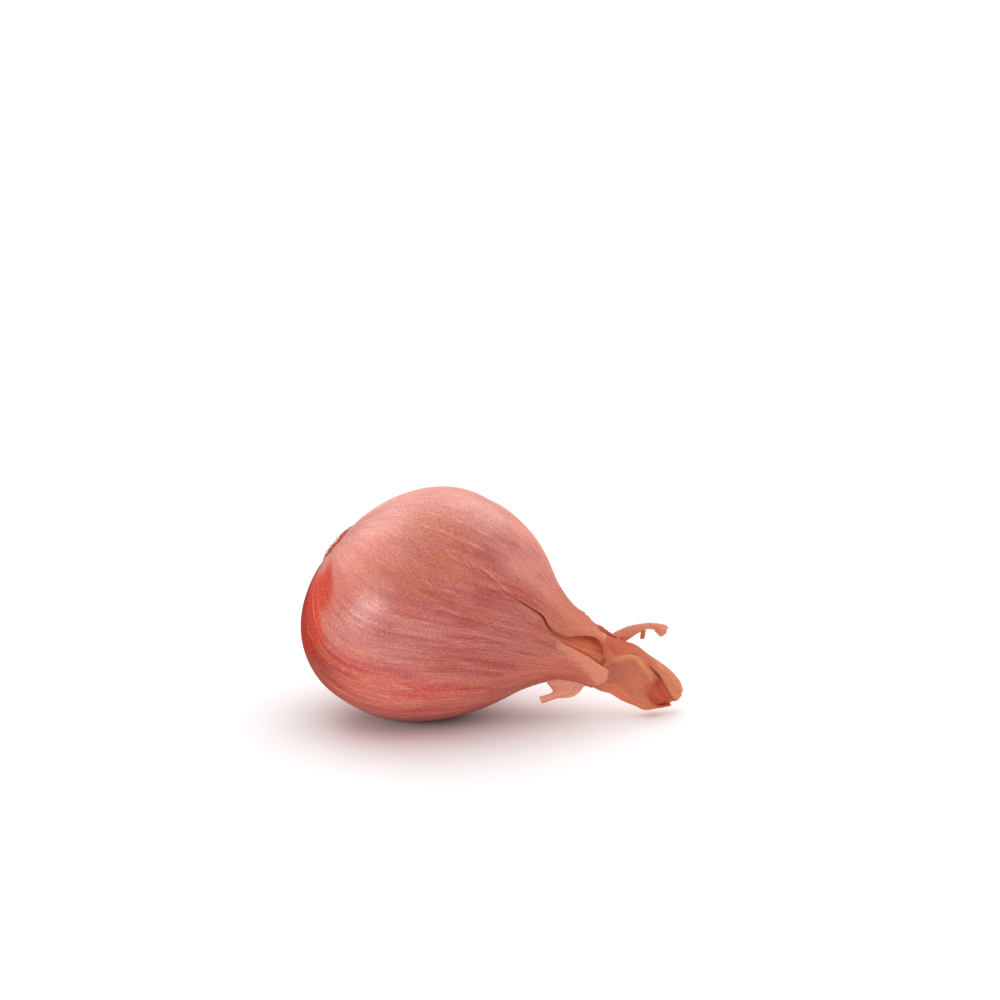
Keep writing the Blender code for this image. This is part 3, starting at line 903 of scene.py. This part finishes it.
def neck_face(station, down):
    """Height in shares of the half thickness over the neck's near face, from its main folds."""
    ridge, keel = through(RIDGE_LINE, station), through(KEEL_LINE, station)
    if down < ridge:
        height = 1.18 * down / ridge
    elif down < keel:
        height = 1.18 - 0.34 * (down - ridge) / (keel - ridge)
    else:
        height = 0.84 * (1 - down) / (1 - keel)
    folded = 0.8 * rise(station, -0.2, 1.2)
    return height * folded + rounded(down) * (1 - folded)


def rounded(down):
    """Height of a half circle over its width, from edge to edge."""
    return sqrt(max(1 - (2 * down - 1) ** 2, 0))


def neck_mouth(station, down):
    """How far into the sunken mouth of the neck this place is, 0 to 1."""
    past_rim = rise(station, through(NECK_MOUTH, down), 1.1)
    return past_rim * rise(down, through(CREASE_LINE, station), 0.06)


def crumple(station, down, phases):
    """Height of the small crumples of the paper; phases tell one face's from the other's."""
    return (0.19 * ridged(station * 0.55, down * 2.2, phases[0])
            + 0.11 * ridged(station * 1.3, down * 5, phases[1])
            + 0.06 * ripple(station * 0.5, down * 17, phases[2]))


def neck_near_height(station, down, thickness):
    """The neck's near face: its height, how much it is sunk and creased, which the paper shows as
    painted shade, and how much it lies above the fold line.
    """
    sunk = neck_mouth(station, down)
    fold = through(CREASE_LINE, station)
    folded = rise(station, 4, 1)
    shaded_crease = folded * bell(down - fold, 0.022)
    strip = folded * fall(down, fold, 0.05)
    slit_down = SLIT_DOWN + SLIT_SLOPE * (station - SLIT_STATION)
    slit = bell(station - SLIT_STATION, 0.45) * bell(down - slit_down, 0.014)
    height = (thickness * neck_face(station, down) - 0.4 * shaded_crease - 1.1 * sunk - 0.18 * slit
              + strip * (0.45 * sin(pi * min(down / fold, 1))
                         + 0.22 * ridged(station * 1.7, down * 8, 5)))
    return height, sunk, max(shaded_crease, slit), strip


def neck_marks(station, down, sunk, strip, grown):
    """Marks of the near face: painted light on the ridge and the strip, a painted glow on the thin
    lower edge and the mouth's rim, grey brown, and painted shade above the ridge.
    """
    ridge, keel = through(RIDGE_LINE, station), through(KEEL_LINE, station)
    open_share = 1 - sunk
    above = fall(down, ridge - 0.03, 0.07) * open_share * fall(station, 5.2, 3.4)
    lit = max(0.8 * bell(down - ridge - 0.01, 0.07) * open_share, strip * 0.55)
    dusk = band(down, ridge + 0.03, 0.05, keel, 0.06) * open_share * rise(station, 0.8, 1.2)
    glow = rise(down, keel - 0.02, 0.05) * open_share * grown
    rim = bell(station - through(NECK_MOUTH, down) + 0.1, 0.12) * (down > 0.35)
    return lit, max(glow, 0.6 * rim), 0.75 * dusk, above


def add_neck(settings):
    """The withered neck: a crumpled paper tube, flattened, creased and open at its end."""
    last = len(NECK_TOP) - 1

    def place(across, along):
        station = last * along
        angle = 2 * pi * across
        near = sin(angle) >= 0
        down = (1 - cos(angle)) / 2
        top, bottom = edge_point(NECK_TOP, station), edge_point(NECK_BOTTOM, station)
        ahead = edges_direction((NECK_TOP, NECK_BOTTOM), station)
        outwards = ahead.cross(top - bottom).normalized()
        thickness = through(list(enumerate(NECK_HALF_THICKNESS)), station)
        grown = smooth(station / 1.5)
        flank = grown * (1 - abs(2 * down - 1) ** 6)
        if near:
            height, sunk, shaded_crease, strip = neck_near_height(station, down, thickness)
            height += flank * crumple(station, down, (3, 1, 2))
            lit, glow, dusk, above = neck_marks(station, down, sunk, strip, grown)
        else:
            sunk = shaded_crease = lit = glow = dusk = above = 0
            height = -0.85 * thickness * rounded(down)
            height -= flank * crumple(station, down, (9, 6, 8))
        bitten = 0.35 * ripple(down * 7, 3 if near else 7, 0) * rise(station, 7.2, 0.8)
        point = bottom + (top - bottom) * (1 - down) + outwards * height
        point += ahead.normalized() * bitten
        point.z = max(point.z, LEAST_HEIGHT)
        edge = exp(-(last - station) / 0.25)
        fibre = (down * (top - bottom).length / FIBRE_ROUND, 1 if near else -1,
                 station * 2 / FIBRE_ALONG)
        # Marks: painted light, painted glow and painted shade in the open end; edge wear, grey
        # brown and painted shade in the creases; painted shade above the ridge.
        return (point, fibre, (lit, glow, sunk), (edge, dusk, shaded_crease), (0, 0, 0), (above, 0, 0))

    neck = sheet("neck_paper", NECK_COLUMNS, NECK_ROWS, place, closed=True)
    thicken(neck, settings.neck.thickness)
    colours = settings.neck
    finish = withered_paper("withered_paper", colours, 0.00008, colours.paper, colours.paper_deep,
                            colours.paper_light)
    hand_over(neck, finish, "neck")


def strip_of_skin(name, edges, curl, tone, thickness):
    """A torn strip between its two long edges, curled across its width."""
    spans = len(edges[0]) - 1
    opening = ((0, 0), (0.8, 1), (spans, 1))

    def place(across, along):
        station = across * spans
        one, other = [edge_point(edge, station) for edge in edges]
        face = edges_direction(edges, station).cross(one - other)
        face = face.normalized() if face.length > 1e-9 else MOUTH_AXES[1]
        bend = curl * sin(pi * along) * through(opening, station)
        wave = 0.08 * (ridged(station * 0.9, along * 1.7, 4)
                       + 0.6 * ripple(station * 2.2, along * 3, 1))
        nibble = 0.07 * ripple(station * 3.1, 5, along * 2)
        point = other.lerp(one, along) + face * (bend + wave) + (one - other).normalized() * nibble
        point.z = max(point.z, LEAST_HEIGHT)
        width = (one - other).length
        nearest = min(along * width, (1 - along) * width, (1 - across) * spans * 1.2)
        fibre = (along * width / FIBRE_ROUND, 0.3, station * 1.8 / FIBRE_ALONG)
        return point, fibre, tone, (exp(-nearest / 0.3), 0, 0)

    made = sheet(name, SHRED_COLUMNS_PER_SPAN * spans, SHRED_ROWS, place)
    thicken(made, thickness, 0)
    return made


def add_shreds(settings):
    """The torn strips of the outer skin that hang at its mouth."""
    colours = settings.neck
    finish = withered_paper("torn_skin", colours, 0.00006, colours.shred, colours.shred_deep,
                            colours.shred_light)
    for name, edges, curl, tone in SHREDS:
        strip = strip_of_skin(name, edges, curl, tone, colours.thickness)
        hand_over(strip, finish, "outer_skin")


def root_disc(centre, outward, side, up, plate_radius):
    """The root plate: a corky, bumpy disc with its rim turned in."""
    def place(across, ring):
        angle = 2 * pi * across
        reach = min(ring / 0.8, 1)
        r = plate_radius * reach * (1 + 0.10 * ring_ripple(angle, 2.5, 3))
        x, y = r * cos(angle), r * sin(angle)
        bumps = 0.22 * ripple(x * 1.3, y * 1.3, 5) + 0.12 * ridged(x * 2.7, y * 2.7, 1)
        height = (0.25 + 0.30 * (1 - reach ** 2) + bumps * smooth(reach * 4)
                  - 0.9 * rise(ring, 0.8, 0.2))
        return (centre + outward * height + x * side + y * up,)

    return sheet("root_disc", DISC_COLUMNS, DISC_ROWS, place, closed=True)


def root_mat(centre, outward, side, up, plate_radius, count):
    """The mat of dried roots: tapered, bent tubes that lean further out near the rim."""
    builder, layers = start_mesh()
    tone = layers[MARKS.index("tone")]
    for i in range(count):
        share = sqrt((i + 0.5) / count)
        spread = round_axis(GOLDEN_TURN * i, side, up)
        around = outward.cross(spread)
        length = 1.4 + 0.5 * ripple(i * 1.7, 0.3, 0)
        thick = 0.085 + 0.04 * ripple(i * 2.3, 0.7, 4)
        sway = 1.3 * ripple(i * 0.9, 2.1, 1)
        shade = 0.5 + 0.5 * ripple(i * 5.3, 0, 9)
        point = centre + outward * 0.35 + spread * 0.92 * plate_radius * share
        rings = []
        for joint in range(ROOT_JOINTS + 1):
            t = joint / ROOT_JOINTS
            splay = radians(32 + 48 * share + 30 * t)
            heading = (cos(splay) * outward + sin(splay) * (spread + sway * t * around)
                       + 0.35 * ripple(i * 3.1, t * 2.2, 2) * around).normalized()
            one = heading.cross(outward).normalized()
            other = heading.cross(one)
            width = thick * (1 - 0.65 * t)
            rings.append([])
            for k in range(ROOT_SIDES):
                offset = round_axis(2 * pi * k / ROOT_SIDES, one, other)
                corner = builder.verts.new((point + width * offset) * MM)
                corner[tone] = (0, t, shade)
                rings[-1].append(corner)
            point = point + heading * length / ROOT_JOINTS
        for ring, after in zip(rings, rings[1:]):
            for k in range(ROOT_SIDES):
                following = (k + 1) % ROOT_SIDES
                builder.faces.new((ring[k], ring[following], after[following], after[k]))
        builder.faces.new(rings[-1])
    return object_from(builder, "root_fibres")


def add_roots(settings):
    """The root plate and the mat of dried roots on it."""
    roots = settings.roots
    along, side, up = ring_frame(-ROOT_LENGTH)
    centre = axis_point(-ROOT_LENGTH + DIMPLE_DEPTH) + along * 0.2
    plate = (centre, -along, side, up, roots.plate_radius / MM)
    hand_over(root_disc(*plate), cork("cork", roots, False), "root_plate")
    hand_over(root_mat(*plate, roots.fibre_count), cork("root_straw", roots, True),
              "root_plate")


# ---- the stage ----
def turned_to(thing, way):
    """Turns a light or camera so that its back points this way."""
    thing.rotation_euler = way.to_track_quat("Z", "Y").to_euler()


def soft_box(name, middle, offset, size, power):
    """A rectangular soft light that looks at a point."""
    lamp = bpy.data.lights.new(name, "AREA")
    lamp.shape = "RECTANGLE"
    lamp.size, lamp.size_y = size
    lamp.energy = power
    thing = placed(name, lamp)
    thing.location = middle + Vector(offset)
    turned_to(thing, Vector(offset))


def add_floor(size):
    """The plain floor under everything."""
    builder, _ = start_mesh()
    bmesh.ops.create_grid(builder, x_segments=8, y_segments=8, size=size / 2)
    floor = object_from(builder, "floor")
    floor.data.materials.append(pale_ground())


def add_surround(strength):
    """A white surround that is brighter behind than in front."""
    world = bpy.data.worlds.new("studio")
    bpy.context.scene.world = world
    world.use_nodes = True
    bench = Bench(world.node_tree)
    behind = bench.parts(bench.node("ShaderNodeTexCoord").outputs["Generated"])[1]
    sky = bench.node("ShaderNodeBackground", {
        "Color": (1, 1, 1),
        "Strength": bench.between(behind, -0.1, 0.9, 0.85 * strength, 1.8 * strength)})
    bench.node("ShaderNodeOutputWorld", {0: sky.outputs[0]})


def add_camera(stage, middle):
    """The camera, aimed a little beside and above the middle of the belly."""
    right = direction(0, stage.azimuth)
    back = direction(stage.elevation, stage.azimuth - pi / 2)
    lens = bpy.data.cameras.new("camera")
    lens.lens = stage.lens
    lens.sensor_width = 36
    lens.clip_start, lens.clip_end = 0.01, 20
    camera = placed("camera", lens)
    camera.location = middle + back * stage.distance
    aim = middle + right * stage.aim_right + back.cross(right) * stage.aim_up
    turned_to(camera, camera.location - aim)
    bpy.context.scene.camera = camera


def add_stage(settings):
    """Floor, surround, lights and camera."""
    stage = settings.stage
    middle = BELLY_CENTRE * MM
    add_floor(stage.floor_size)
    add_surround(stage.surround)
    soft_box("side_soft_box", middle, (-0.36, -0.42, 0.10), (0.32, 0.28), stage.side_power)
    soft_box("rear_soft_box", middle, (-0.35, 0.39, 0.30), (0.30, 0.30), stage.rear_power)
    sun = bpy.data.lights.new("high_sun", "SUN")
    sun.energy = stage.sun_power
    sun.angle = radians(110)
    turned_to(placed("high_sun", sun), Vector((0.25, 0.30, 1)))
    add_camera(stage, middle)
    bpy.context.scene.view_settings.view_transform = "Standard"


# ---- settings, operators and panel ----
def rgb(name, description, *values):
    """A colour setting, given by the usual 0 to 255 values and kept as a linear colour."""
    linear = [((value / 255 + 0.055) / 1.055) ** 2.4 for value in values]
    return FloatVectorProperty(name=name, description=description, default=linear,
                               subtype="COLOR", min=0, max=1, size=3)


class ShallotSkin(bpy.types.PropertyGroup):
    thickness: FloatProperty(name="Skin thickness", description="Thickness of the dry outer skin",
                             default=0.00022, min=0.0001, max=0.0006, unit="LENGTH", precision=5)
    rose: rgb("Rose", "Main colour of the dry skin", 182, 90, 84)
    deep_rose: rgb("Deep rose", "Darker bands of the dry skin", 172, 62, 57)
    coral: rgb("Coral", "Narrow lighter bands", 206, 112, 86)
    red: rgb("Red", "Red round the root end", 194, 66, 52)
    # Mauve: partly the skin's own colour, partly painted shade and a painted floor reflection.
    mauve_shade_and_reflection: rgb("Mauve", "The shaded side below the belly", 164, 88, 90)
    orange: rgb("Orange", "The orange brown patch on the shoulder", 188, 92, 62)
    # Pale is painted light on the upper side, and a painted highlight near the root end.
    pale: rgb("Pale", "The sun bleached upper side", 224, 138, 120)
    tan: rgb("Tan", "Dry torn edges and the neck's sheath", 206, 116, 86)
    cuff: rgb("Cuff", "The dry margin below the lower lip", 228, 142, 110)
    tongue: rgb("Tongue", "The end of the flap, folded under", 198, 88, 66)
    vein: rgb("Vein", "Fine light veins", 222, 150, 128)
    # Shade: the skin's own dark hairs, and painted shadow by the split and inside the bulb's
    # hollow.
    shade: rgb("Shade", "Dark hairs and cracks", 120, 42, 36)
    inner: rgb("Inner scale", "The scale under the split", 206, 98, 58)
    inner_light: rgb("Inner scale, light", "Its lighter bands", 220, 118, 76)


class ShallotNeck(bpy.types.PropertyGroup):
    thickness: FloatProperty(name="Paper thickness", description="Thickness of the withered paper",
                             default=0.00018, min=0.0001, max=0.0006, unit="LENGTH", precision=5)
    paper: rgb("Paper", "Main colour of the withered neck", 210, 120, 82)
    paper_deep: rgb("Paper, deep", "Its darker clouds", 202, 106, 70)
    paper_light: rgb("Paper, light", "Faces turned up to the light", 224, 140, 100)
    shred: rgb("Shred", "Main colour of the torn strips", 208, 106, 78)
    shred_deep: rgb("Shred, deep", "Their darker clouds", 192, 92, 68)
    shred_light: rgb("Shred, light", "Their faces turned to the light", 246, 168, 140)
    # Fold: painted shade on the face above the ridge.
    fold: rgb("Fold", "The deep orange face above the ridge", 202, 92, 58)
    glow: rgb("Glow", "Thin lower edge that light shines through", 214, 120, 84)
    dusk: rgb("Dusk", "Flat grey brown fold", 200, 112, 86)
    # Recess: painted shade inside the open end and the folds.
    recess_shade: rgb("Recess", "Inside of the open end and of folds", 204, 88, 58)
    edge: rgb("Edge", "Pale torn edges", 236, 156, 118)
    # Hair: the paper's own dark fibres, and painted shade in the creases.
    hair: rgb("Hair", "Dark fibres and creases", 128, 58, 34)


class ShallotRoots(bpy.types.PropertyGroup):
    plate_radius: FloatProperty(name="Plate radius", description="Radius of the corky root plate",
                                default=0.0030, min=0.0015, max=0.0036, unit="LENGTH", precision=4)
    fibre_count: IntProperty(name="Root fibres", description="How many dried roots the mat has",
                             default=150, min=20, max=400)
    cork: rgb("Cork", "The root plate", 212, 126, 78)
    cork_dark: rgb("Cork, dark", "Its pits", 144, 76, 48)
    straw: rgb("Straw", "The dried roots", 220, 134, 82)
    straw_dark: rgb("Straw, dark", "Their darker parts", 180, 96, 56)
    straw_tip: rgb("Straw tip", "Their bleached ends", 230, 158, 108)


class ShallotStage(bpy.types.PropertyGroup):
    floor_size: FloatProperty(name="Floor size", description="Side of the floor", default=7,
                              min=1, max=20, unit="LENGTH")
    surround: FloatProperty(name="Surround", description="Strength of the white surround",
                            default=0.43, min=0, max=4)
    side_power: FloatProperty(name="Side light", description="Power of the side soft box",
                              default=1.45, min=0, max=50, unit="POWER")
    rear_power: FloatProperty(name="Rear light", description="Power of the soft box behind",
                              default=0.4, min=0, max=50, unit="POWER")
    sun_power: FloatProperty(name="High light", description="Strength of the even high light",
                             default=2.25, min=0, max=10)
    azimuth: FloatProperty(name="Azimuth", description="Camera's turn from the front",
                           default=radians(12), unit="ROTATION")
    elevation: FloatProperty(name="Elevation", description="Camera's height as an angle",
                             default=radians(16), unit="ROTATION")
    distance: FloatProperty(name="Distance", description="Camera to the belly's centre",
                            default=0.616, min=0.2, max=3, unit="LENGTH", precision=4)
    aim_right: FloatProperty(name="Aim right", description="How far right of the belly it aims",
                             default=0.01477, unit="LENGTH", precision=5)
    aim_up: FloatProperty(name="Aim up", description="How far above the belly it aims",
                          default=0.0168, unit="LENGTH", precision=5)
    lens: FloatProperty(name="Lens", description="Focal length", default=129.6, min=20, max=300,
                        unit="CAMERA")


class ShallotSettings(bpy.types.PropertyGroup):
    skin: PointerProperty(type=ShallotSkin, name="Skin", description="The dry skin and inner scale")
    neck: PointerProperty(type=ShallotNeck, name="Neck", description="The withered neck and shreds")
    roots: PointerProperty(type=ShallotRoots, name="Roots", description="The root plate")
    stage: PointerProperty(type=ShallotStage, name="Stage", description="Floor, lights and camera")


class SHALLOT_OT_add_stage(bpy.types.Operator):
    """Adds the pale floor, the soft lights and the camera"""
    bl_idname = "shallot.add_stage"
    bl_label = "Add stage"

    def execute(self, context):
        add_stage(context.scene.shallot)
        return {"FINISHED"}


class SHALLOT_OT_add_bulb(bpy.types.Operator):
    """Adds the bulb in its inner scale"""
    bl_idname = "shallot.add_bulb"
    bl_label = "Add bulb"

    def execute(self, context):
        add_bulb(context.scene.shallot)
        return {"FINISHED"}


class SHALLOT_OT_add_skin(bpy.types.Operator):
    """Adds the papery outer skin with its split and torn mouth"""
    bl_idname = "shallot.add_skin"
    bl_label = "Add skin"

    def execute(self, context):
        add_skin(context.scene.shallot)
        return {"FINISHED"}


class SHALLOT_OT_add_shreds(bpy.types.Operator):
    """Adds the torn strips that hang on the skin's mouth"""
    bl_idname = "shallot.add_shreds"
    bl_label = "Add shreds"

    def execute(self, context):
        add_shreds(context.scene.shallot)
        return {"FINISHED"}


class SHALLOT_OT_add_neck(bpy.types.Operator):
    """Adds the withered, creased neck"""
    bl_idname = "shallot.add_neck"
    bl_label = "Add neck"

    def execute(self, context):
        add_neck(context.scene.shallot)
        return {"FINISHED"}


class SHALLOT_OT_add_roots(bpy.types.Operator):
    """Adds the corky root plate and its dried roots"""
    bl_idname = "shallot.add_roots"
    bl_label = "Add roots"

    def execute(self, context):
        add_roots(context.scene.shallot)
        return {"FINISHED"}


OPERATORS = (SHALLOT_OT_add_stage, SHALLOT_OT_add_bulb, SHALLOT_OT_add_skin, SHALLOT_OT_add_shreds,
             SHALLOT_OT_add_neck, SHALLOT_OT_add_roots)


class SHALLOT_PT_panel(bpy.types.Panel):
    """Settings and steps for the shallot"""
    bl_idname = "SHALLOT_PT_panel"
    bl_label = "Shallot"
    bl_space_type = "VIEW_3D"
    bl_region_type = "UI"
    bl_category = "Shallot"

    def draw(self, context):
        settings = context.scene.shallot
        for operator in OPERATORS:
            self.layout.operator(operator.bl_idname)
        for group in (settings.skin, settings.neck, settings.roots, settings.stage):
            box = self.layout.box()
            for key in group.__annotations__:
                box.prop(group, key)


CLASSES = (ShallotSkin, ShallotNeck, ShallotRoots, ShallotStage, ShallotSettings, *OPERATORS,
           SHALLOT_PT_panel)


def register():
    for each in CLASSES:
        bpy.utils.register_class(each)
    bpy.types.Scene.shallot = PointerProperty(type=ShallotSettings, name="Shallot",
                                              description="Sizes and colours of the shallot")


def unregister():
    del bpy.types.Scene.shallot
    for each in reversed(CLASSES):
        bpy.utils.unregister_class(each)


def main():
    register()
    for operator in OPERATORS:
        getattr(bpy.ops.shallot, operator.bl_idname.split(".")[1])()


if __name__ == "__main__":
    main()
